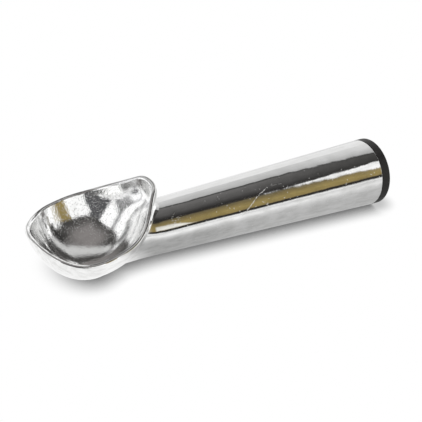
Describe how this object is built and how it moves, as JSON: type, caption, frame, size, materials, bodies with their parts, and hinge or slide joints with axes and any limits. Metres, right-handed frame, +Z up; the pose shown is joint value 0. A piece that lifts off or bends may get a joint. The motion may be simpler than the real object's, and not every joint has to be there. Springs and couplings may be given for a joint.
{
  "type": "ice cream scoop",
  "caption": "Cast polished aluminium ice cream scoop: open egg-shaped bowl rising to a rear peak, on a tapered hollow handle that holds heat-carrying liquid behind a flush black end cap.",
  "frame": {"origin": "on the surface that the scoop lies on, below the middle of its length, on its plane of symmetry", "axes": "+X from the bowl to the butt of the handle, +Y to the left seen from the bowl, +Z up out of the bowl"},
  "size_m": [0.1795, 0.053, 0.0371],
  "materials": {
    "polished_aluminium": "polished",
    "fluid": "gloss",
    "plug_rubber": "matte",
    "ring_rubber": "matte",
    "black_plastic": "satin"
  },
  "bodies": {
    "root": {"scoop_casting": "polished_aluminium", "heat_fluid": "fluid", "seal_plug": "plug_rubber", "cap_seal_ring": "ring_rubber", "end_cap": "black_plastic"}
  },
  "joints": []
}
